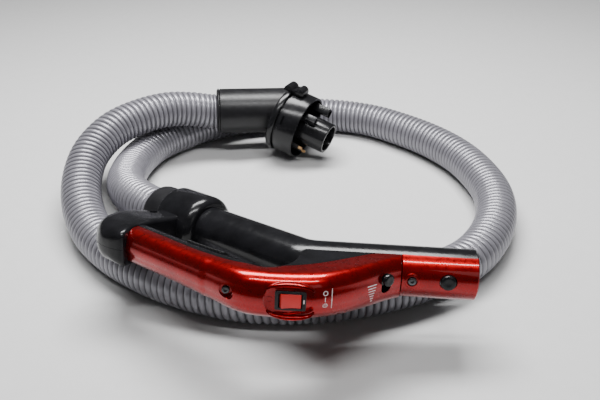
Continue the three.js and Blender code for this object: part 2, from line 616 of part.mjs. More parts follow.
// ---------------------------------------------------------------- assembly
const handle = new THREE.Group();
handle.position.set(...HANDLE_PLACE);
handle.rotation.set(rad(HANDLE_TURN.roll), rad(HANDLE_TURN.pitch), rad(HANDLE_TURN.yaw), 'ZYX');
handle.add(
  piece('air_tube', airTube(), ...BLACK),
  piece('front_cover', coverBody(), ...RED),
  piece('wand_band', wandBand(), ...RED),
  piece('grip_shell', gripShell(), ...BLACK),
  piece('grip_insert', gripInsert(), ...RUBBER),
  piece('bridge_upper', bridgeCap(1), ...BLACK),
  piece('bridge_lower', bridgeCap(-1), ...BLACK),
  piece('swivel_housing', swivelHousing(), ...BLACK),
  piece('hose_cuff', hoseCuff(), ...BLACK),
  piece('cuff_seal', cuffSeal(), ...RUBBER),
  piece('switch_frame', switchFrame(), ...BLACK),
  piece('power_rocker', rockerBody(), 0xc22a20, 0.5),
  piece('rocker_pin', rockerPin(), ...STEEL),
  piece('suction_knob', sliderKnob(), ...BLACK),
  piece('bleed_shutter', bleedShutter(), ...BLACK),
  piece('release_button', releaseButton(), ...BLACK),
  piece('wand_lever', wandLever(), ...STEEL),
  piece('lever_pin', leverPin(), ...STEEL),
  piece('cover_screw', coverScrew(), ...STEEL),
  piece('band_screw', bandScrew(), ...STEEL),
  piece('bridge_screw', bridgeScrew(), ...STEEL),
  piece('terminal_block', terminalBlock(), ...GREY),
  piece('switch_lead_upper', switchLead(1), ...RUBBER),
  piece('switch_lead_lower', switchLead(-1), ...RUBBER),
);

const connector = new THREE.Group();
connector.position.set(...CONNECTOR_PLACE);
connector.setRotationFromMatrix(connectorTurn);
connector.add(
  piece('connector_elbow', elbow(), ...BLACK),
  piece('sleeve_ring', sleeveRing(), ...BLACK),
  piece('swivel_flange', swivelFlange(), ...BLACK),
  piece('connector_drum', drumBody(), ...BLACK),
  piece('nozzle', nozzle(), ...BLACK),
  piece('key_block', keyBlock(), ...BLACK),
  piece('pin_guard', pinGuard(), ...BLACK),
  piece('latch_lever', latchLever(), ...BLACK),
  piece('latch_pin', latchPin(), ...STEEL),
);
PINS.forEach(([angle, radius], i) => connector.add(
  piece(`pin_sleeve_${i + 1}`, pinSleeve(angle, radius), ...BLACK),
  piece(`contact_pin_${i + 1}`, pinTip(angle, radius), ...BRASS),
));

const assembly = new THREE.Group();
assembly.name = 'hose_assembly';
assembly.add(handle, connector, piece('hose', hoseTube(), ...GREY));

export default assembly;
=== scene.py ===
import math
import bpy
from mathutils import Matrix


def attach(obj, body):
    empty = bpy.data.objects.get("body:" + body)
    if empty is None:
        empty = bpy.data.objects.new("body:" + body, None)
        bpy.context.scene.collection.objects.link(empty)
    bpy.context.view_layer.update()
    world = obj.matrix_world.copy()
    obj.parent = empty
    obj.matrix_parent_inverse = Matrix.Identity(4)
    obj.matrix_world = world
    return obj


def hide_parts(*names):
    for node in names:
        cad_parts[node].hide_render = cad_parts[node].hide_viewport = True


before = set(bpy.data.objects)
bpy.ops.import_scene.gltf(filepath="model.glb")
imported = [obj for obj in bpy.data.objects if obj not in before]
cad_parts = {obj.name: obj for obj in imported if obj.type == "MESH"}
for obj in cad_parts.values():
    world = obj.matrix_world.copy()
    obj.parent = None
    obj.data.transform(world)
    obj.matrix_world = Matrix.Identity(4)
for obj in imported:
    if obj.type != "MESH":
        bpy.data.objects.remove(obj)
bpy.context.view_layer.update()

from types import SimpleNamespace

import bmesh
import bpy
from mathutils import Euler, Matrix, Vector
from mathutils.bvhtree import BVHTree

scene = bpy.context.scene

# ------------------------------------------------------------------ frames, as in part.mjs
MM = 0.001
GAP = 0.3


def turn_z(degrees):
    return Matrix.Rotation(math.radians(degrees), 4, "Z")


def turn_y(degrees):
    return Matrix.Rotation(math.radians(degrees), 4, "Y")


def shift(x, y, z=0.0):
    return Matrix.Translation((x, y, z))


def local_frame(origin, roll, pitch, yaw):
    turned = Euler([math.radians(a) for a in (roll, pitch, yaw)], "XYZ").to_matrix().to_4x4()
    return Matrix.Scale(MM, 4) @ shift(*origin) @ turned


# Turns a drawing in XY to stand in XZ, and a prism drawn in XY to run along X.
UPRIGHT = Matrix(((1, 0, 0, 0), (0, 0, -1, 0), (0, 1, 0, 0), (0, 0, 0, 1)))
ALONG_X = Matrix(((0, 0, 1, 0), (1, 0, 0, 0), (0, 1, 0, 0), (0, 0, 0, 1)))

# The handle lies along X with its front towards -Y; in HANDLE_FRONT the front is towards +Y.
HANDLE = local_frame((19.5, -161.5, 71.2), -13, 2, -3)
HANDLE_FRONT = HANDLE @ Matrix.Rotation(math.pi, 4, "X")
BEND_X = 5
TUBE_ANGLE = 38.7
TUBE = HANDLE @ shift(BEND_X, 0) @ turn_z(180 - TUBE_ANGLE)
SLIDER = HANDLE @ shift(71, -34.7) @ turn_z(39 - 90)
SLIDER_Z = 5.2

CONNECTOR = local_frame((3, 199, 46.6), 0, 14.5, -27.4)
ELBOW_X = -29
SLEEVE_AIM = Vector((0.992, 0.12, -0.03)).normalized()
aim = (CONNECTOR.to_3x3().normalized().transposed() @ SLEEVE_AIM)
SLEEVE = (
    CONNECTOR @ shift(ELBOW_X, 0)
    @ turn_z(math.degrees(math.atan2(aim.y, aim.x))) @ turn_y(math.degrees(-math.asin(aim.z)))
)

# ------------------------------------------------------------------ camera
cam_data = bpy.data.cameras.new("camera")
cam_data.sensor_width = 36
cam_data.lens = 45.18
cam = bpy.data.objects.new("camera", cam_data)
scene.collection.objects.link(cam)
cam.location = (0.019, -0.692, 0.441)
cam.rotation_euler = (math.radians(60), 0, 0)
scene.camera = cam


# ------------------------------------------------------------------ curves
def smooth_curve(points, count):
    """Evenly spaced points along a centripetal Catmull-Rom curve."""
    pts = [Vector(p) for p in points]
    pts = [pts[0] * 2 - pts[1]] + pts + [pts[-1] * 2 - pts[-2]]
    fine = []
    for p0, p1, p2, p3 in zip(pts, pts[1:], pts[2:], pts[3:]):
        t1 = (p1 - p0).length ** 0.5
        t2 = t1 + (p2 - p1).length ** 0.5
        t3 = t2 + (p3 - p2).length ** 0.5
        for k in range(24):
            t = t1 + (t2 - t1) * k / 24
            a1 = p0 * ((t1 - t) / t1) + p1 * (t / t1)
            a2 = p1 * ((t2 - t) / (t2 - t1)) + p2 * ((t - t1) / (t2 - t1))
            a3 = p2 * ((t3 - t) / (t3 - t2)) + p3 * ((t - t2) / (t3 - t2))
            b1 = a1 * ((t2 - t) / t2) + a2 * (t / t2)
            b2 = a2 * ((t3 - t) / (t3 - t1)) + a3 * ((t - t1) / (t3 - t1))
            fine.append(b1 * ((t2 - t) / (t2 - t1)) + b2 * ((t - t1) / (t2 - t1)))
    fine.append(pts[-2])
    return spaced(fine, count)


def spaced(fine, count):
    """Points at equal steps along a polyline."""
    along = [0.0]
    for p, q in zip(fine, fine[1:]):
        along.append(along[-1] + (q - p).length)
    out, j = [], 0
    for i in range(count + 1):
        s = along[-1] * i / count
        while j < len(fine) - 2 and along[j + 1] < s:
            j += 1
        step = along[j + 1] - along[j] or 1
        out.append(fine[j].lerp(fine[j + 1], min(1, max(0, (s - along[j]) / step))))
    return out


def length_of(points):
    return sum((q - p).length for p, q in zip(points, points[1:]))


def frames_along(path):
    """A direction and two side vectors at each point, turned as little as possible."""
    dirs = []
    for i in range(len(path)):
        dirs.append((path[min(i + 1, len(path) - 1)] - path[max(i - 1, 0)]).normalized())
    side = dirs[0].orthogonal().normalized()
    out = []
    for d in dirs:
        side = (side - d * side.dot(d)).normalized()
        out.append((d, side, d.cross(side)))
    return out


# ------------------------------------------------------------------ mesh builders, in millimetres
def make(name, verts, faces, frame_matrix, sharp=32, bevel=0.0):
    """Object from points in a frame's millimetres, shaded smooth below the sharp angle."""
    bm = bmesh.new()
    made = [bm.verts.new(frame_matrix @ Vector(v)) for v in verts]
    bm.verts.index_update()
    for f in faces:
        corners = [made[i] for i in dict.fromkeys(f)]
        if len(corners) > 2:
            try:
                bm.faces.new(corners)
            except ValueError:
                pass
    bmesh.ops.recalc_face_normals(bm, faces=bm.faces)
    if bevel:
        bm.normal_update()
        edges = [e for e in bm.edges if e.is_manifold and e.calc_face_angle(0) > math.radians(28)]
        bmesh.ops.bevel(bm, geom=edges, offset=bevel * MM, segments=3, profile=0.5,
                        affect="EDGES", clamp_overlap=True)
    mesh = bpy.data.meshes.new(name)
    bm.to_mesh(mesh)
    bm.free()
    obj = bpy.data.objects.new(name, mesh)
    scene.collection.objects.link(obj)
    soften(obj, sharp)
    return obj


def soften(obj, sharp):
    mesh = obj.data
    mesh.polygons.foreach_set("use_smooth", [True] * len(mesh.polygons))
    mesh.set_sharp_from_angle(angle=math.radians(sharp))
    mesh.update()


def lathe(name, profile, m, segments=96):
    """Solid of revolution about X of a closed or on-axis profile of (x, radius)."""
    verts, rows = [], []
    for x, r in profile:
        if r == 0:
            rows.append([len(verts)] * segments)
            verts.append((x, 0, 0))
            continue
        rows.append([len(verts) + i for i in range(segments)])
        for i in range(segments):
            a = 2 * math.pi * i / segments
            verts.append((x, r * math.cos(a), r * math.sin(a)))
    faces = []
    closing = profile[0][1] > 0
    pairs = list(zip(rows, rows[1:])) + ([(rows[-1], rows[0])] if closing else [])
    for low, high in pairs:
        for i in range(segments):
            j = (i + 1) % segments
            faces.append((low[i], low[j], high[j], high[i]))
    return make(name, verts, faces, m)


def rod(x0, x1, r, m, segments=64):
    """Round tool along X."""
    return lathe("tool", [(x0, 0), (x0, r), (x1, r), (x1, 0)], m, segments)


def tube_along(name, rows, m, segments=72):
    """Hollow tube: rows of (point, outer radius, inner radius) along a path."""
    path = [Vector(p) for p, _, _ in rows]
    distinct = [path[0]]
    for p in path[1:]:
        if (p - distinct[-1]).length > 1e-6:
            distinct.append(p)
    turned = dict(zip([tuple(p) for p in distinct], frames_along(distinct)))
    verts, rings = [], []
    loops = [(p, out) for p, out, _ in rows] + [(p, inner) for p, _, inner in reversed(rows)]
    for p, r in loops:
        _, side, up = turned[tuple(Vector(p))]
        rings.append(len(verts))
        for i in range(segments):
            a = 2 * math.pi * i / segments
            verts.append(Vector(p) + (side * math.cos(a) + up * math.sin(a)) * r)
    faces = []
    for low, high in zip(rings, rings[1:] + rings[:1]):
        for i in range(segments):
            j = (i + 1) % segments
            faces.append((low + i, low + j, high + j, high + i))
    return make(name, verts, faces, m)


def prism(name, outline, z0, z1, m, bevel=0.0, sharp=32):
    """Solid between two heights over an outline in XY."""
    n = len(outline)
    verts = [(x, y, z0) for x, y in outline] + [(x, y, z1) for x, y in outline]
    faces = [list(range(n)), list(range(n, 2 * n))]
    faces += [(i, (i + 1) % n, n + (i + 1) % n, n + i) for i in range(n)]
    return make(name, verts, faces, m, sharp, bevel)


def block(name, lo, hi, m, bevel=0.0):
    (x0, y0, z0), (x1, y1, z1) = lo, hi
    return prism(name, [(x0, y0), (x1, y0), (x1, y1), (x0, y1)], z0, z1, m, bevel)


def combine(obj, tools, how="DIFFERENCE", sharp=32):
    """Boolean with each tool in turn, applied to the mesh; the tools are used up."""
    for tool in tools:
        mod = obj.modifiers.new("boolean", "BOOLEAN")
        mod.object = tool
        mod.operation = how
        mod.solver = "EXACT"
        dg = bpy.context.evaluated_depsgraph_get()
        mesh = bpy.data.meshes.new_from_object(obj.evaluated_get(dg), depsgraph=dg)
        obj.modifiers.clear()
        obj.data = mesh
        bpy.data.objects.remove(tool)
    soften(obj, sharp)
    return obj


# ------------------------------------------------------------------ handle outlines, as in part.mjs
tube_dir = Vector((-math.cos(math.radians(TUBE_ANGLE)), math.sin(math.radians(TUBE_ANGLE))))
tube_front = Vector((-math.sin(math.radians(TUBE_ANGLE)), -math.cos(math.radians(TUBE_ANGLE))))


def on_tube(along, front):
    """Point in the handle's XY plane, at a distance along the hose tube and in front of its axis."""
    p = Vector((BEND_X, 0)) + tube_dir * along + tube_front * front
    return (p.x, p.y)


FRONT = [(-78, 48.2), (-48, 71), (-27, 76.5), (-4, 76.5), (20, 72), (38, 62), (55, 49), (70, 35.5),
         (84, 25), (92, 21)]
SEAM = [(-84, 24), (-52, 46), (-30, 51.5), (-7, 50), (14, 42), (32, 31.5), (49, 20), (62, 12.5),
        (76, 11), (92, 11.5)]
GRIP_END = 149.5
TUBE_END = 160.5
GRIP_BACK = 58
GRIP_FRONT = 90
HALF = 18.6
EDGE = 12
CROWN = 1.2
WALL = 2.6
TUBE_R = 21.5
BORE_R = 16.5
CUFF_SEAT_R = 19.8
BEND_R = 26
SOCKET_END = 148
COVER_END = 83.3
BAND_START = 84
BAND_R = 22
BAND_BORE_R = 19.3
SWITCH_X = -4.5
COVER_SCREW_X = -56
BAND_SCREW_X = 93
BUTTON_X = 123
BRIDGE_SCREW_AT = (160, 37)


def side_curve(pairs, count):
    """Curve through pairs of x and the distance in front of the handle's X axis."""
    return [(p.x, p.y) for p in smooth_curve([(x, -v, 0) for x, v in pairs], count)]


def loft(name, rings, m):
    """Closed solid through rings of the same number of points."""
    n = len(rings[0])
    verts = [p for points in rings for p in points]
    faces = [list(range(n)), list(range(len(verts) - n, len(verts)))]
    for k in range(len(rings) - 1):
        low, high = k * n, (k + 1) * n
        faces += [(low + i, low + (i + 1) % n, high + (i + 1) % n, high + i) for i in range(n)]
    return make(name, verts, faces, m, 40)


def section(depth, half, edge, back_edge, crown):
    """Rounded rectangle as (u, z): u runs from the front face at 0 to depth, z from -half to half."""
    e = min(edge, (depth - crown) * 0.48, half * 0.97)
    eb = min(back_edge, (depth - crown) * 0.48, half * 0.97)
    upper = [(crown * (i / 4) ** 2, (half - e) * i / 4) for i in range(5)]
    for i in range(1, 11):
        a = math.pi / 2 * i / 10
        upper.append((crown + e * (1 - math.cos(a)), half - e + e * math.sin(a)))
    for i in range(1, 6):
        upper.append((crown + e + (depth - crown - e - eb) * i / 5, half))
    for i in range(1, 9):
        a = math.pi / 2 * i / 8
        upper.append((depth - eb + eb * math.sin(a), half - eb + eb * math.cos(a)))
    upper += [(depth, (half - eb) * k) for k in (0.5, 0)]
    return upper + [(u, -z) for u, z in reversed(upper[1:-1])]


def step(x, low, high):
    """Smooth step from 0 at low to 1 at high."""
    t = min(1, max(0, (x - low) / (high - low)))
    return t * t * (3 - 2 * t)


def narrow(x):
    """Share of the full width at x; the hose end is the narrowest."""
    return 0.87 + 0.13 * step(x, -110, -30)


def handle_stations():
    """Front and back points of the handle's sections, from the hose end to the wand band."""
    pairs = []
    for i in range(25):
        a = GRIP_END + (34.2 - GRIP_END) * i / 24
        pairs.append((Vector(on_tube(a, GRIP_FRONT)), Vector(on_tube(a, GRIP_BACK))))
    front = side_curve(FRONT, 300)
    keys = [(-78, *on_tube(34.2, GRIP_BACK)), (-64, *on_tube(20, GRIP_BACK)), (-50, *on_tube(7, GRIP_BACK)),
            (-38, *on_tube(-2, 57)), (-27, *on_tube(-8.5, 52.5)), (-15, *on_tube(-12, 44)),
            (-4, *on_tube(-12, 32)), (4, *on_tube(-7, 20)), (11, *on_tube(0, 10)), (18, 6, 2), (30, 22, 4),
            (55, 52, 4), (92, 92, 4)]
    j = 0
    for fx, bx, by in list(smooth_curve(keys, 80))[1:]:
        while j < len(front) - 2 and front[j + 1][0] < fx:
            j += 1
        k = (fx - front[j][0]) / (front[j + 1][0] - front[j][0])
        pairs.append((Vector(front[j]).lerp(Vector(front[j + 1]), k), Vector((bx, by))))
    return pairs


STATIONS = handle_stations()


def handle_solid(name="tool", inset=0.0):
    """The handle's outer form, drawn in by the inset or grown by a negative one."""
    rings = []
    ends = {0: (STATIONS[0], STATIONS[1]), len(STATIONS) - 1: (STATIONS[-1], STATIONS[-2])}
    passed = range(len(STATIONS) - 4, len(STATIONS) - 1) if inset > 0 else ()
    for i, (front, back) in enumerate(STATIONS):
        if i in passed:
            continue
        if i in ends:
            here, near = ends[i]
            move = (near[0] - here[0]).normalized() * inset
            front, back = front + move, back + move
        into = (back - front).normalized()
        depth = (back - front).length - 2 * inset
        ring = []
        for u, z in section(depth, HALF - inset, EDGE - 0.6 * inset, EDGE - 0.6 * inset, CROWN):
            p = front + into * (u + inset)
            ring.append((p.x, p.y, z * narrow(p.x)))
        rings.append(ring)
    return loft(name, rings, HANDLE)


def cover_region(back):
    """All that lies in front of the seam between cover and grip, moved back by a gap."""
    seam = (
        [on_tube(GRIP_END + 20, 73 - back), on_tube(96, 73 - back)]
        + side_curve([(x, v - back) for x, v in SEAM], 60)
        + [(SOCKET_END + 20, -11.5 + back)]
    )
    return prism("tool", seam + [(SOCKET_END + 20, -130), (-260, -130)], -40, 40, HANDLE)


def front_rod(x, v0, v1, r):
    """Rod along the line of sight into the cover, from height v0 down to v1."""
    return rod(0, v0 - v1, r, HANDLE @ shift(x, -v0) @ turn_z(90), 48)


def along_cover(profile, x, v, segments=48):
    """Turned tool whose +X runs into the cover from height v."""
    return lathe("tool", profile, HANDLE @ shift(x, -v) @ turn_z(90), segments)


def tubes_grown(r):
    return tube_along("tool", [(p, r, 0.01) for p in tube_path()], HANDLE)


def tube_path():
    """Centreline from the hose end of the handle, round the bend, to the wand socket."""
    t = BEND_R * math.tan(math.radians(TUBE_ANGLE / 2))
    start = Vector((*on_tube(TUBE_END, 0), 0))
    first = Vector((*on_tube(t, 0), 0))
    centre = Vector((BEND_X + t, BEND_R, 0))
    arc = []
    for i in range(13):
        a = math.radians(-90 - TUBE_ANGLE + TUBE_ANGLE * i / 12)
        arc.append(centre + Vector((math.cos(a), math.sin(a), 0)) * BEND_R)
    return [start, start.lerp(first, 0.5)] + arc + [Vector((80, 0, 0)), Vector((SOCKET_END, 0, 0))]


# ------------------------------------------------------------------ materials
def material(name, base, rough, metal=0.0, coat=0.0, coat_rough=0.08, tint=0.12,
             grain=0.0, grain_scale=1500, scuff=0.0, specular=0.5):
    """Moulded or metal surface: colour drift, roughness drift, fine grain and light scuffs."""
    mat = bpy.data.materials.new(name)
    mat.use_nodes = True
    nodes, links = mat.node_tree.nodes, mat.node_tree.links
    shader = nodes["Principled BSDF"]
    shader.inputs["Metallic"].default_value = metal
    shader.inputs["Coat Weight"].default_value = coat
    shader.inputs["Coat Roughness"].default_value = coat_rough
    shader.inputs["Specular IOR Level"].default_value = specular
    where = nodes.new("ShaderNodeTexCoord").outputs["Object"]

    def noise(scale, detail=3, stretch=None):
        node = nodes.new("ShaderNodeTexNoise")
        node.inputs["Scale"].default_value = scale
        node.inputs["Detail"].default_value = detail
        if stretch:
            mapping = nodes.new("ShaderNodeMapping")
            mapping.inputs["Scale"].default_value = stretch
            links.new(where, mapping.inputs["Vector"])
            links.new(mapping.outputs["Vector"], node.inputs["Vector"])
        else:
            links.new(where, node.inputs["Vector"])
        return node.outputs["Fac"]

    def spread(value, low, high, out_low, out_high):
        node = nodes.new("ShaderNodeMapRange")
        node.inputs["From Min"].default_value = low
        node.inputs["From Max"].default_value = high
        node.inputs["To Min"].default_value = out_low
        node.inputs["To Max"].default_value = out_high
        links.new(value, node.inputs["Value"])
        return node.outputs["Result"]

    def mix(fac, a, b):
        node = nodes.new("ShaderNodeMix")
        node.data_type = "RGBA"
        links.new(fac, node.inputs["Factor"])
        for socket, value in ((node.inputs["A"], a), (node.inputs["B"], b)):
            if isinstance(value, tuple):
                socket.default_value = value
            else:
                links.new(value, socket)
        return node.outputs["Result"]

    light = tuple(min(1, c * (1 + tint)) for c in base) + (1,)
    dark = tuple(c * (1 - tint) for c in base) + (1,)
    colour = mix(spread(noise(60), 0.35, 0.65, 0, 1), dark, light)
    roughness = spread(noise(220, 4), 0.3, 0.7, rough * 0.85, min(1, rough * 1.2))
    if scuff:
        scratch = spread(noise(90, 6, (1, 9, 3)), 0.62, 0.7, 0, scuff)
        worn = tuple(min(1, c * 1.5 + 0.03) for c in base) + (1,)
        colour = mix(scratch, colour, worn)
    links.new(colour, shader.inputs["Base Color"])
    links.new(roughness, shader.inputs["Roughness"])
    if grain:
        bump = nodes.new("ShaderNodeBump")
        bump.inputs["Strength"].default_value = grain
        bump.inputs["Distance"].default_value = 0.0002
        links.new(noise(grain_scale, 2), bump.inputs["Height"])
        links.new(bump.outputs["Normal"], shader.inputs["Normal"])
    return SimpleNamespace(mat=mat, nodes=nodes, links=links, shader=shader, where=where,
                           noise=noise, spread=spread, mix=mix)


def red_paint():
    """Red lacquer with brighter and darker metal flakes."""
    paint = material("red_paint", (0.235, 0.0009, 0.0020), 0.29, metal=0.88, coat=0.5, coat_rough=0.04,
                     tint=0.10, specular=0.25)
    flakes = paint.nodes.new("ShaderNodeTexVoronoi")
    flakes.inputs["Scale"].default_value = 3400
    paint.links.new(paint.where, flakes.inputs["Vector"])
    split = paint.nodes.new("ShaderNodeSeparateColor")
    paint.links.new(flakes.outputs["Color"], split.inputs["Color"])
    colour = paint.shader.inputs["Base Color"].links[0].from_socket
    bright = paint.spread(split.outputs["Red"], 0.7, 1.0, 0, 0.22)
    colour = paint.mix(bright, colour, (0.55, 0.008, 0.008, 1))
    dull = paint.spread(split.outputs["Green"], 0.7, 1.0, 0, 0.2)
    colour = paint.mix(dull, colour, (0.12, 0.001, 0.002, 1))
    paint.links.new(colour, paint.shader.inputs["Base Color"])
    return paint.mat


def hose_plastic():
    """Grey vinyl with painted shade in the grooves, and a little soiled."""
    vinyl = material("hose_plastic", (0.205, 0.20, 0.225), 0.33, metal=0.35, coat=0.3, coat_rough=0.2,
                     tint=0.05, grain=0.12, grain_scale=900)
    ridge = vinyl.nodes.new("ShaderNodeAttribute")
    ridge.attribute_name = "ridge"
    colour = vinyl.shader.inputs["Base Color"].links[0].from_socket
    # Painted shade: the hollows between the rings are mixed towards near-black by the ridge attribute.
    groove_shade = vinyl.spread(ridge.outputs["Fac"], 0.0, 0.75, 1, 0)
    colour = vinyl.mix(groove_shade, colour, (0.035, 0.034, 0.040, 1))
    dirt = vinyl.spread(vinyl.noise(35, 5), 0.55, 0.8, 0, 0.12)
    colour = vinyl.mix(dirt, colour, (0.16, 0.155, 0.16, 1))
    vinyl.links.new(colour, vinyl.shader.inputs["Base Color"])
    return vinyl.mat


def plain(*args, **more):
    return material(*args, **more).mat


red = red_paint()
hose_grey = hose_plastic()
gloss = plain("gloss_black", (0.006, 0.006, 0.007), 0.2, tint=0.25, grain=0.03, grain_scale=700,
              scuff=0.05, specular=0.27)
satin = plain("satin_black", (0.009, 0.0088, 0.010), 0.34, tint=0.2, grain=0.2, grain_scale=1600,
              scuff=0.07, specular=0.3)
semi = plain("semi_gloss_black", (0.007, 0.007, 0.008), 0.21, tint=0.2, grain=0.06, grain_scale=1200,
             scuff=0.05, specular=0.3)
rubber = plain("rubber", (0.012, 0.012, 0.013), 0.68, tint=0.2, grain=0.5, grain_scale=1100)
steel = plain("screw_steel", (0.30, 0.30, 0.31), 0.3, metal=1.0, tint=0.2, grain=0.15,
              grain_scale=600, scuff=0.3)
dark_steel = plain("blackened_steel", (0.10, 0.10, 0.105), 0.34, metal=1.0, tint=0.2, grain=0.15,
                   grain_scale=600, scuff=0.25)
brass = plain("pin_brass", (0.46, 0.28, 0.14), 0.4, metal=1.0, tint=0.15, grain=0.1,
              grain_scale=900, scuff=0.2)
rocker_red = plain("rocker_red", (0.58, 0.020, 0.018), 0.42, tint=0.08, grain=0.3, grain_scale=1300,
                   scuff=0.08)
nylon = plain("grey_nylon", (0.5, 0.5, 0.52), 0.5, tint=0.08, grain=0.3)
print_ink = plain("print_ink", (0.62, 0.55, 0.55), 0.5, tint=0.1)


def place(obj, mat, body, slot, *nodes):
    """Give a piece its material and body, and hide the nodes it replaces; the slot argument is not used."""
    obj.data.materials.clear()
    obj.data.materials.append(mat)
    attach(obj, body)
    if nodes:
        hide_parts(*nodes)
    return obj


def kept(mat, *names):
    """CAD nodes that are shown as they are."""
    for name in names:
        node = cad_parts[name]
        node.data.materials.clear()
        node.data.materials.append(mat)


ROOT = "hose_and_handle"

# ------------------------------------------------------------------ hose
HOSE_ROUTE = [
    (-0.1077, -0.0476, 0.0511), (-0.1203, -0.0367, 0.0492), (-0.1248, -0.0328, 0.0485),
    (-0.147, -0.0085, 0.0446), (-0.166, 0.022, 0.0385), (-0.177, 0.053, 0.032), (-0.182, 0.085, 0.026),
    (-0.182, 0.116, 0.0226), (-0.175, 0.148, 0.022), (-0.161, 0.179, 0.022), (-0.14, 0.204, 0.022),
    (-0.112, 0.23, 0.022), (-0.075, 0.253, 0.022), (-0.028, 0.267, 0.022), (0.021, 0.272, 0.022),
    (0.071, 0.267, 0.022), (0.116, 0.25, 0.022), (0.157, 0.218, 0.022), (0.191, 0.181, 0.022),
    (0.216, 0.139, 0.022), (0.231, 0.091, 0.022), (0.236, 0.045, 0.022), (0.229, -0.001, 0.022),
    (0.211, -0.045, 0.022), (0.182, -0.084, 0.022), (0.14, -0.112, 0.022), (0.097, -0.131, 0.022),
    (0.049, -0.144, 0.022), (-0.001, -0.148, 0.022), (-0.048, -0.141, 0.022), (-0.094, -0.123, 0.022),
    (-0.133, -0.099, 0.022), (-0.171, -0.065, 0.022), (-0.198, -0.029, 0.0235),
    (-0.217, 0.013, 0.03), (-0.226, 0.057, 0.04), (-0.223, 0.095, 0.0515), (-0.205, 0.132, 0.0625),
    (-0.178, 0.16, 0.067), (-0.147, 0.1825, 0.067), (-0.119, 0.1955, 0.062),
    (-0.0944, 0.2032, 0.0561), (-0.0775, 0.2052, 0.0555), (-0.0669, 0.2065, 0.0552),
]
HOSE_R = 0.022
PITCH = 0.0067
GROOVE = 0.0026
PER_RING = 8
AROUND = 48


def corrugated_hose():
    """Helical corrugations along the route; the attribute ridge is 1 on a crest and 0 at the bottom between
    rings, where the hose material paints shade.
    """
    rough_path = smooth_curve(HOSE_ROUTE, 600)
    length = length_of(rough_path)
    turns = round(length / PITCH)
    rows = turns * PER_RING
    path = smooth_curve(HOSE_ROUTE, rows)
    turned = frames_along(path)
    spots = [-0.5, -0.44, -0.33, -0.17, 0.0, 0.17, 0.33, 0.44]
    pitch = length / turns
    verts, ridge = [], []
    for i in range(rows + 1):
        crest = abs(math.cos(math.pi * spots[i % PER_RING])) ** 0.55
        radius = HOSE_R - 0.0001 - GROOVE * (1 - crest)
        ring, phase = divmod(i, PER_RING)
        for j in range(AROUND):
            s = (ring + spots[phase] + j / AROUND) * pitch
            s = min(length, max(0, s))
            k = s / length * rows
            a = min(rows - 1, int(k))
            centre = path[a].lerp(path[a + 1], k - a)
            _, side, up = turned[min(rows, round(k))]
            angle = 2 * math.pi * j / AROUND
            verts.append(centre + (side * math.cos(angle) + up * math.sin(angle)) * radius)
            ridge.append(crest)
    faces = []
    for i in range(rows):
        for j in range(AROUND):
            low = i * AROUND + j
            if j < AROUND - 1:
                faces.append((low, low + 1, low + AROUND + 1, low + AROUND))
            elif i + PER_RING < rows:
                near = (i + PER_RING) * AROUND
                faces.append((low, near, near + AROUND, low + AROUND))
    obj = make("hose_corrugated", verts, faces, Matrix.Identity(4), 180)
    layer = obj.data.attributes.new("ridge", "FLOAT", "POINT")
    layer.data.foreach_set("value", ridge)
    return obj, path, length


hose, hose_path, hose_length = corrugated_hose()
place(hose, hose_grey, ROOT, "hose_grey", "hose")

# ------------------------------------------------------------------ air tube
def air_tube_body():
    """Tube with a counterbore for the cuff at the hose end and eased edges at both mouths."""
    path = tube_path()
    ledge = path[0].lerp(path[1], 0.24)
    rows = [(path[0], TUBE_R - 0.4, CUFF_SEAT_R), (ledge, TUBE_R, CUFF_SEAT_R)]
    rows += [(p, TUBE_R, BORE_R) for p in [ledge, *path[1:-1], path[-1] - Vector((1, 0, 0))]]
    rows.append((path[-1], TUBE_R - 0.8, BORE_R + 0.8))
    return tube_along("air_tube_body", rows, HANDLE, 96)


air_tube = air_tube_body()
seat = lathe("tool", [
    (BAND_START - GAP, BAND_BORE_R - GAP), (BAND_START - GAP, 32), (160, 32),
    (160, BAND_BORE_R - GAP)], HANDLE)
seat = combine(seat, [cover_region(GAP)], "INTERSECT")
lever_slot = block("tool", (97, 10, -4.6), (130, 24, 4.6), HANDLE_FRONT)
button_pocket = front_rod(BUTTON_X, 25, 17.2, 7.0)
combine(air_tube, [seat, lever_slot, button_pocket])
place(air_tube, gloss, ROOT, "gloss_black", "air_tube")

# ------------------------------------------------------------------ front cover
cover = handle_solid("cover_shell")
cavity = combine(handle_solid(inset=WALL), [
    front_rod(SWITCH_X, 90, 71.5, 22.6), front_rod(COVER_SCREW_X, 90, 48, 7.2)])
combine(cover, [cavity, rod(-60, 100, TUBE_R + GAP, HANDLE)])
combine(cover, [cover_region(0)], "INTERSECT")
dish = along_cover([
    (-6, 0), (-6, 24), (4.2, 22.4), (5.0, 21.3), (6.3, 19.9), (6.7, 17.5), (6.7, 0)], SWITCH_X, 81.7, 96)
switch_hole = block("tool", (-15.8, 50, -7.1), (6.8, 90, 7.1), HANDLE_FRONT)
past_end = block("tool", (COVER_END, -60, -60), (160, 60, 60), HANDLE)
screw_hole = along_cover([
    (-26, 0), (-26, 7.4), (0.0, 6.6), (0.9, 5.7), (1.6, 5.4), (6, 5.3), (6, 1.9), (30, 1.9), (30, 0)],
    COVER_SCREW_X, 66.8)
combine(cover, [dish, switch_hole, past_end, screw_hole])

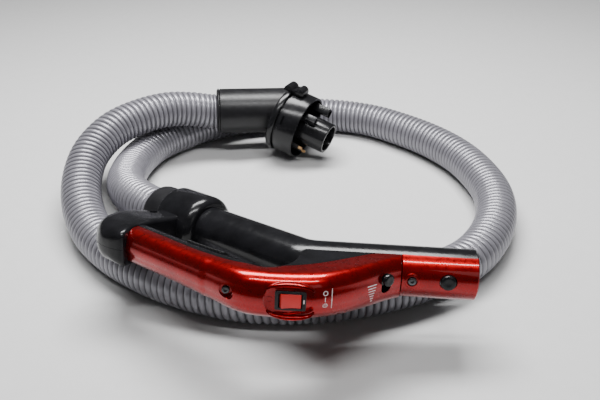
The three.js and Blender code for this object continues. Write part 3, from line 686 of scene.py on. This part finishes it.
band = lathe("wand_band_body", [
    (BAND_START, BAND_BORE_R), (BAND_START, BAND_R - 0.6), (BAND_START + 0.8, BAND_R),
    (SOCKET_END - 0.8, BAND_R), (SOCKET_END, BAND_R - 0.6), (SOCKET_END, BAND_BORE_R)], HANDLE)
boss = along_cover([(0, 0), (0, 5.4), (0.6, 6.4), (3.6, 6.4), (3.6, 0)], BAND_SCREW_X, 23.6)
combine(band, [boss], "UNION")
combine(band, [cover_region(0)], "INTERSECT")
combine(band, [
    along_cover([(-6, 0), (-6, 8.6), (6.2, 7.6), (7.2, 6.9), (15, 6.9), (15, 0)], BUTTON_X, 28.4),
    along_cover([(-6, 0), (-6, 5), (0.2, 4.4), (0.8, 3.9), (2.4, 3.9), (2.4, 1.9), (10, 1.9), (10, 0)],
                BAND_SCREW_X, 23.8),
])


def oval_tool(x0, x1, half, r, z, m):
    """Rod along X with an oval section, 2 * half tall about the height z."""
    count = 12
    outline = []
    for end, start in ((1, 0), (-1, 180)):
        for i in range(count + 1):
            a = math.radians(start + 180 * i / count)
            outline.append((r * math.cos(a), z + end * (half - r) + r * math.sin(a)))
    return prism("tool", outline, x0, x1, m @ ALONG_X)


combine(cover, [oval_tool(-7, 8, 8.5, 5.25, 1.5, SLIDER)])
place(cover, red, ROOT, "red_shell", "front_cover")
place(band, red, ROOT, "red_shell", "wand_band")


def guard_lip(side):
    """Crescent guard beside the rocker, its crown grooved along the middle."""
    count, rows = 40, []
    for i in range(count + 1):
        a = math.pi * i / count
        outer = Vector((18.5 * math.cos(a), 6.6 * math.sin(a)))
        inner = Vector((17.0 * math.cos(a), 3.3 * math.sin(a)))
        rows.append((outer, inner))
    verts, faces = [], []
    shape = [(0.0, 0.0), (0.0, 0.8), (0.07, 0.95), (0.16, 1.0), (0.27, 0.9), (0.5, 0.6), (0.73, 0.9),
             (0.84, 1.0), (0.93, 0.95), (1.0, 0.8), (1.0, 0.0)]
    for outer, inner in rows:
        for across, up in shape:
            p = outer.lerp(inner, across)
            height = (2.4 + 1.9 * (1 - (p.x / 19) ** 4)) * up
            verts.append((SWITCH_X + p.x, -(74.0 + height), side * (8.6 + p.y)))
    m = len(shape)
    for i in range(count):
        for k in range(m):
            a, b = i * m + k, i * m + (k + 1) % m
            faces.append((a, b, b + m, a + m))
    faces += [list(range(m)), list(range(count * m, count * m + m))]
    return make(f"guard_lip_{'upper' if side > 0 else 'lower'}", verts, faces, HANDLE, 40)


for side in (1, -1):
    place(guard_lip(side), red, ROOT, "red_shell")


def raised_marks(name, strips, lift):
    """Thin marks laid on the cover: a strip is a list of point pairs (x, z) seen from in front."""
    surface = BVHTree.FromPolygons([v.co.copy() for v in cover.data.vertices],
                                   [tuple(f.vertices) for f in cover.data.polygons])
    inward = (HANDLE.to_3x3() @ Vector((0, 1, 0))).normalized()
    back = HANDLE.inverted()

    def depth(x, z):
        hit = surface.ray_cast(HANDLE @ Vector((x, -130, z)), inward)[0]
        return (back @ hit).y

    verts, faces = [], []
    for closed, pairs in strips:
        base, n = len(verts), len(pairs)
        for pair in pairs:
            for (x, z), up in ((pair[0], 0.4), (pair[0], -lift), (pair[1], -lift), (pair[1], 0.4)):
                verts.append((x, depth(x, z) + up, z))
        for i in range(n if closed else n - 1):
            a, b = base + 4 * i, base + 4 * ((i + 1) % n)
            faces += [(a + k, a + (k + 1) % 4, b + (k + 1) % 4, b + k) for k in range(4)]
        if not closed:
            faces += [tuple(base + k for k in range(4)), tuple(base + 4 * (n - 1) + k for k in range(4))]
    return make(name, verts, faces, HANDLE, 60)


def circle_mark(x, z, outer, inner):
    count = 28
    turn = [(math.cos(2 * math.pi * i / count), math.sin(2 * math.pi * i / count)) for i in range(count)]
    return (True, [((x + outer * c, z + outer * s), (x + inner * c, z + inner * s)) for c, s in turn])


def bar_mark(x, z, half_x, half_z):
    count = 16
    across = [2 * i / count - 1 for i in range(count + 1)]
    if half_x > half_z:
        return (False, [((x + t * half_x, z - half_z), (x + t * half_x, z + half_z)) for t in across])
    return (False, [((x - half_x, z + t * half_z), (x + half_x, z + t * half_z)) for t in across])


place(raised_marks("off_on_marks", [circle_mark(-20.8, 0, 2.6, 1.9), bar_mark(11.8, 0, 0.5, 2.4)], 0.35),
      red, ROOT, "red_shell")
place(raised_marks("power_marks", [
    circle_mark(22, 5.6, 1.9, 1.3), bar_mark(22, 0.6, 0.32, 1.9), circle_mark(22, -4.4, 1.9, 1.3),
    bar_mark(22, -4.4, 0.3, 0.8), bar_mark(27, 0.6, 0.3, 8.2)], 0.06), print_ink, ROOT, None)
place(raised_marks("suction_marks", [
    bar_mark(59, -10.4 + 2.3 * i, 0.8 + 0.5 * i, 0.42) for i in range(7)], 0.06),
    print_ink, ROOT, None)

# ------------------------------------------------------------------ grip shell and insert
shell = handle_solid("grip_shell_body")
combine(shell, [handle_solid(inset=WALL), cover_region(GAP), tubes_grown(TUBE_R + GAP),
                block("tool", (78, -60, -60), (125, 60, 60), HANDLE)])
place(shell, gloss, ROOT, "gloss_black", "grip_shell")

insert = handle_solid("grip_insert_ribs", inset=-1.5)
combine(insert, [handle_solid(inset=-0.25)])
combine(insert, [block("tool", (34, 53, -25), (78, 66, 25), TUBE)], "INTERSECT")
ribs = [block("tool", (a, 52, -26), (a + 1.5, 70, 26), TUBE) for a in (36.5 + 4.4 * i for i in range(9))]
inner = handle_solid(inset=-0.8)
joined = combine(ribs[0], ribs[1:], "UNION")
combine(insert, [combine(joined, [inner])])
place(insert, rubber, ROOT, "rubber_black", "grip_insert")

# ------------------------------------------------------------------ bridge
# Sections of the bridge: distance in front of the tube's axis, its start and end along it, half width.
BRIDGE = ((12, 136, 167, 15.4), (24, 136, 169.5, 15.4), (31, 136, 172.8, 15.5), (38, 136, 178, 16),
          (44, 136, 181.8, 16.6), (51, 136, 184.7, 17.4), (58, 136, 186, 18.1), (65, 136, 186, 18.4),
          (72, 135.8, 184.7, 18.4), (78, 135, 182.5, 18.4), (83, 133.8, 180, 18.2),
          (88.5, 131.8, 176, 17.4), (92, 130.8, 172.4, 16.3), (94.4, 130.9, 169.4, 15),
          (96.5, 133.5, 166.4, 13), (98.3, 138.5, 162.5, 10.6), (99.3, 143, 159, 8),
          (99.8, 148.5, 154, 5))


def bridge_solid():
    """Lofted towards the front, the last sections round off the nose."""
    fine = smooth_curve(BRIDGE, 70)
    rings = []
    for front, low, high, half in fine:
        ring = []
        for u, z in section(high - low, half, 13, 4, 0.3):
            p = on_tube(high - u, front)
            ring.append((*p, z))
        rings.append(ring)
    return loft("tool", rings, HANDLE)


# The bridge screw's frame: +X leads out of its head.
BRIDGE_SCREW = HANDLE @ shift(*on_tube(*BRIDGE_SCREW_AT)) @ Matrix.Rotation(-math.pi / 2, 4, "Y")


def bridge_cap(side):
    cap = bridge_solid()
    cap.name = "bridge_cap_upper" if side > 0 else "bridge_cap_lower"
    low, high = (0.12, 60) if side > 0 else (-60, -0.12)
    grip_pocket = combine(handle_solid(inset=-GAP), [block("tool", (0, 0, -30), (150.4, 120, 30), TUBE)],
                          "INTERSECT")
    recess = lathe("tool", [
        (-9, 0), (-9, 1.8), (11, 1.8), (11, 3.6), (15.2, 3.6), (16.4, 4.4), (30, 5), (30, 0)],
        BRIDGE_SCREW, 40)
    combine(cap, [block("tool", (-300, -300, low), (300, 300, high), HANDLE)], "INTERSECT")
    combine(cap, [grip_pocket, rod(100, 190, 30.8, TUBE), recess], sharp=36)
    return cap


for side, node in ((1, "bridge_upper"), (-1, "bridge_lower")):
    place(bridge_cap(side), gloss, ROOT, "gloss_black", node)

# ------------------------------------------------------------------ swivel housing, cuff
housing = lathe("swivel_housing_body", [
    (120.5, 21.8), (120.5, 25.0), (120.9, 25.8), (122.0, 27.2), (123.6, 28.6), (125.6, 29.8), (127.6, 30.35),
    (129.5, 30.5), (165.9, 30.5), (167.2, 30.1), (168, 29.2), (168, 23.8), (165.8, 23.8), (165.8, 25.9),
    (160.8, 25.9), (160.8, 21.8)], TUBE, 128)
place(housing, gloss, ROOT, "gloss_black", "swivel_housing")
cuff = lathe("hose_cuff_body", [
    (143.5, 16.6), (143.5, 19.5), (148.5, 19.5), (148.5, 17.8), (151.5, 17.8), (151.5, 19.5), (161.3, 19.5),
    (161.3, 25.4), (165.3, 25.4), (165.3, 23.4), (168.5, 23.4), (168.5, 26.2), (169.3, 27), (188.9, 27),
    (191.1, 26.6), (192.2, 25.8), (192.5, 24.8), (192.1, 23), (190.5, 22.4), (175.5, 22.4), (175.5, 16.6)],
    TUBE, 128)
place(cuff, satin, "hose_swivel", "satin_black", "hose_cuff")
kept(rubber, "cuff_seal")

# ------------------------------------------------------------------ switch, slider, button, screws
def facing(x, v):
    """Frame on the cover: X along the handle, Y up beside it, Z out of it."""
    return HANDLE @ shift(x, -v) @ UPRIGHT


def rounded_rect(half_x, half_y, r):
    count = 5
    out = []
    for cx, cy, start in ((1, 1, 0), (-1, 1, 90), (-1, -1, 180), (1, -1, 270)):
        for i in range(count + 1):
            a = math.radians(start + 90 * i / count)
            out.append((cx * (half_x - r) + r * math.cos(a), cy * (half_y - r) + r * math.sin(a)))
    return out


at_switch = facing(SWITCH_X, 76.5)
frame_piece = prism("switch_bezel", rounded_rect(12, 7.8, 1.2), -2.0, -0.2, at_switch, 0.35)
combine(frame_piece, [prism("tool", rounded_rect(11, 6.8, 0.3), -19, -1.0, at_switch)], "UNION")
combine(frame_piece, [block("tool", (-9.2, -6, -9), (9.2, 6, 3), at_switch)])
place(frame_piece, satin, ROOT, "satin_black", "switch_frame")
place(block("switch_tick", (9.8, -1.6, -0.4), (10.9, 1.6, -0.12), at_switch), print_ink, ROOT, None)

rocker_line = [(-7.5, 4.5)] + [(-7.2 + 14.4 * i / 12, 3.5 + 1.0 * ((i - 6) / 6) ** 2) for i in range(13)] + [
    (7.5, 4.5), (8.5, 0.6), (3, -3.6), (-3, -3.6), (-8.5, 0.6)]
rocker = prism("rocker_cap", rocker_line, -5.6, 5.6,
               HANDLE @ shift(SWITCH_X, -73) @ turn_z(8) @ Matrix.Rotation(math.pi, 4, "X"), 0.3, 40)
place(rocker, rocker_red, "rocker", "rocker_red", "power_rocker")
kept(steel, "rocker_pin", "lever_pin", "latch_pin", "wand_lever")

knob = lathe("suction_knob_cap", [
    (-3.6, 0), (-3.6, 3.4), (0.5, 3.4), (0.8, 4.8), (1.3, 5.3), (2.6, 5.3), (3.4, 5.0), (3.9, 4.3),
    (4.1, 3.3), (3.9, 1.8), (3.8, 0)], SLIDER @ shift(0, 0, SLIDER_Z), 56)
place(knob, gloss, "suction_slider", "gloss_black", "suction_knob")
kept(satin, "bleed_shutter")

button = lathe("release_button_cap", [
    (19.1, 0), (19.1, 2.2), (20.5, 2.2), (20.5, 6.0), (20.9, 6.4), (23.0, 6.4), (23.6, 6.1), (24.0, 5.4),
    (24.25, 4.2), (24.0, 2.2), (23.9, 0)], HANDLE @ shift(BUTTON_X, 0) @ turn_z(-90), 64)
place(button, gloss, "wand_button", "gloss_black", "release_button")


def hex_screw(name, length, head, thick, m, node):
    """Flat-headed screw with a hexagon socket, its head at the origin and its shank towards -X."""
    shape = lathe(name, [
        (-length, 0), (-length + 1.2, 1.4), (-thick, 1.4), (-thick, head), (-0.5, head), (-0.15, head - 0.2),
        (0, head - 0.55), (0, 0)], m, 48)
    combine(shape, [rod(-1.5, 1, 1.7, m, 6)])
    place(shape, dark_steel, ROOT, "screw_steel", node)


hex_screw("cover_screw_head", 22, 3.2, 2, HANDLE @ shift(COVER_SCREW_X, -62.7) @ turn_z(-90),
          "cover_screw")
hex_screw("band_screw_head", 6.6, 3.4, 1.4, HANDLE @ shift(BAND_SCREW_X, -24.1) @ turn_z(-90),
          "band_screw")
hex_screw("bridge_screw_head", 21, 3.2, 2,
          BRIDGE_SCREW @ shift(13.2, 0), "bridge_screw")
kept(nylon, "terminal_block")
kept(rubber, "switch_lead_upper", "switch_lead_lower")

# ------------------------------------------------------------------ connector
NOZZLE_R = 19.6
LATCH_X = 5.5
LATCH_Z = 38.6
LATCH_FLOOR = 41.6
LATCH_SLOT = ((-11, -8.6, 35.6), (13, 8.6, 60))
# Each lobe of the latch: its centre's x and z and its radius, then the angles its arc starts and ends at.
LATCH_LOBES = (((-5.0, 43.6, 6.8), (196, 25)), ((9.8, 45.2, 5.9), (155, -38)))
LATCH_AXLE = CONNECTOR @ shift(LATCH_X, 0, LATCH_Z) @ turn_z(90)
# Angle about the nozzle's axis, 0 at the latch and growing towards +Y, with a radius.
PINS = [(-122, 28.5), (-160, 28.5), (38, 29.5)]


def around_axis(angle, radius):
    return CONNECTOR @ Matrix.Rotation(math.radians(-angle), 4, "X") @ shift(0, 0, radius)


def elbow():
    """Straight sleeve that runs on to the flange, with a bent bore and a spigot into the drum."""
    to_connector = CONNECTOR.inverted() @ SLEEVE
    corner = Vector((ELBOW_X, 0, 0))
    mouth = to_connector @ Vector((-63, 0, 0))
    into = (corner - mouth).normalized()
    a, b = corner - into * 9, corner + Vector((9, 0, 0))
    arc = [a * (1 - t) ** 2 + corner * 2 * t * (1 - t) + b * t * t for t in (i / 10 for i in range(11))]
    bore = [(p, 17, 0.01) for p in [mouth - into * 5, *arc, Vector((-4, 0, 0))]]
    body = lathe("connector_elbow_body", [
        (-63, 0), (-63, 27.1), (-62.5, 27.9), (-61.5, 28.3), (40, 28.3), (40, 0)], SLEEVE, 128)
    combine(body, [block("tool", (-9.4, -90, -90), (90, 90, 90), CONNECTOR)])
    combine(body, [lathe("tool", [(-22, 41.5), (-22, 80), (0, 80), (0, 41.5)], CONNECTOR, 128)])
    combine(body, [tube_along("tool", bore, CONNECTOR), rod(-70, -45, 22.4, SLEEVE, 96)])
    spigot = lathe("connector_elbow_spigot", [(-14, 17), (-14, 22.7), (5.5, 22.7), (5.5, 17)], CONNECTOR)
    return body, spigot


for elbow_part in elbow():
    place(elbow_part, satin, ROOT, "satin_black", "connector_elbow")
ring_piece = lathe("sleeve_ring_body", [
    (-66.4, 22.5), (-66.4, 25.6), (-66.1, 26.6), (-65.5, 27.6), (-64.8, 28.4), (-63.8, 28.7), (-63.3, 28.4),
    (-63.3, 22.5)], SLEEVE)
place(ring_piece, satin, ROOT, "satin_black", "sleeve_ring")

flange = lathe("swivel_flange_body", [
    (-9, 23.1), (-9, 39.4), (-8.4, 40.8), (-7.4, 41.9), (-6.2, 42.5), (-1.7, 42.5), (-0.8, 42.1),
    (-0.3, 41.3), (-0.3, 23.1)], CONNECTOR, 128)
combine(flange, [block("tool", *LATCH_SLOT, CONNECTOR)])
place(flange, semi, "machine_end", "satin_black", "swivel_flange")

drum = lathe("connector_drum_body", [
    (0, 23.1), (0, 38.8), (2.2, 38.8), (2.2, 40.5), (2.7, 41), (27.6, 41), (28.3, 40.7), (28.5, 40.0),
    (28.5, 38.6), (28.2, 38.1), (27.4, 38), (13.5, 38), (13.5, NOZZLE_R + GAP), (6, NOZZLE_R + GAP),
    (6, 23.1)], CONNECTOR, 128)
drum_cuts = [block("tool", *LATCH_SLOT, CONNECTOR)]
drum_cuts += [rod(4, 20, 2.7, around_axis(*p), 32) for p in PINS]
drum_cuts += [rod(-12, 12, 1.2, LATCH_AXLE, 32)]
drum_cuts += [block("tool", (6.8, -5.6, -1.6), (9.2, 5.6, 4), around_axis(-64, 40))]
combine(drum, drum_cuts)
place(drum, semi, "machine_end", "satin_black", "connector_drum")

nozzle = lathe("nozzle_body", [
    (6.3, 16), (6.3, NOZZLE_R), (59.6, NOZZLE_R), (60.6, 19.2), (61, 18.4), (61, 17.0), (60.6, 16.3),
    (59.6, 16)], CONNECTOR)
place(nozzle, semi, "machine_end", "satin_black", "nozzle")

key = block("key_block_body", (13.8, -4, -5.4), (43, 4.6, 4), around_axis(-32, 26.5), 0.6)
combine(key, [rod(0, 60, NOZZLE_R + GAP, CONNECTOR)])
place(key, semi, "machine_end", "satin_black", "key_block")

guard = block("pin_guard_body", (13.8, -6.4, -5), (47, 6.4, 5.4), around_axis(*PINS[2]), 0.7)
guard_hollow = block("tool", (12.5, -4.2, -8), (50, 4.2, 3.4), around_axis(*PINS[2]))
combine(guard, [guard_hollow, rod(0, 60, NOZZLE_R + GAP, CONNECTOR)])
place(guard, semi, "machine_end", "satin_black", "pin_guard")

for i, pin in enumerate(PINS):
    m = around_axis(*pin)
    collar = lathe(f"pin_sleeve_{i + 1}_body", [
        (6, 1.4), (6, 2.4), (32, 2.4), (32.6, 2.25), (33, 1.9), (33, 1.4)], m, 40)
    place(collar, satin, "machine_end", "satin_black", f"pin_sleeve_{i + 1}")
    tip = lathe(f"contact_pin_{i + 1}_body", [
        (7, 0), (7, 1.1), (33.5, 1.1), (33.5, 1.75), (33.7, 1.9), (37.1, 1.9), (37.8, 1.7), (38.3, 1.2),
        (38.5, 0.5), (38.5, 0)], m, 40)
    place(tip, brass, "machine_end", "pin_brass", f"contact_pin_{i + 1}")


def latch():
    """See-saw latch with two round lobes on a short foot, its edges eased."""
    outline = []
    for (cx, cz, r), (a0, a1) in LATCH_LOBES:
        for i in range(19):
            a = math.radians(a0 + (a1 - a0) * i / 18)
            outline.append((cx + r * math.cos(a), cz + r * math.sin(a)))
    outline.append((14.2, LATCH_FLOOR))
    foot = [(3, LATCH_FLOOR), (3, LATCH_Z), (1.7, 36.9), (0, 36.3), (-1.7, 36.9), (-3, LATCH_Z),
            (-3, LATCH_FLOOR)]
    outline += [(LATCH_X + x, z) for x, z in foot]
    outline.append((-12.4, LATCH_FLOOR))
    piece = prism("latch_lever_body", outline, -7.3, 7.3, CONNECTOR @ UPRIGHT, 0.7, 40)
    return combine(piece, [rod(-12, 12, 1.15, LATCH_AXLE, 32)])


place(latch(), semi, "latch", "satin_black", "latch_lever")

# ------------------------------------------------------------------ floor and light
floor_mesh = bpy.data.meshes.new("floor")
floor_mesh.from_pydata([(-6, -6, 0), (6, -6, 0), (6, 6, 0), (-6, 6, 0)], [], [(0, 1, 2, 3)])
floor = bpy.data.objects.new("floor", floor_mesh)
scene.collection.objects.link(floor)
floor.location.z = -0.0005
floor.data.materials.append(plain("floor_white", (0.52, 0.52, 0.52), 0.7, tint=0.01, specular=0.1))


def soft_light(name, where, target, size, power, shape=1.0):
    """Area light aimed at a point; the shape is its height as a share of its width."""
    data = bpy.data.lights.new(name, "AREA")
    data.shape = "RECTANGLE"
    data.size, data.size_y = size, size * shape
    data.energy = power
    lamp = bpy.data.objects.new(name, data)
    scene.collection.objects.link(lamp)
    lamp.location = where
    lamp.rotation_euler = (Vector(target) - Vector(where)).to_track_quat("-Z", "Y").to_euler()


soft_light("key", (-0.05, 0.36, 1.15), (0, 0, 0), 1.0, 42, 0.36)
soft_light("strip", (0.0, -0.50, 1.25), (0, 0, 0.03), 1.1, 15, 0.07)
soft_light("front", (0.6, -1.3, 0.9), (0, -0.1, 0.05), 0.5, 0.8)
world = bpy.data.worlds.new("studio")
scene.world = world
world.use_nodes = True
world.node_tree.nodes["Background"].inputs["Color"].default_value = (1, 1, 1, 1)
world.node_tree.nodes["Background"].inputs["Strength"].default_value = 0.08
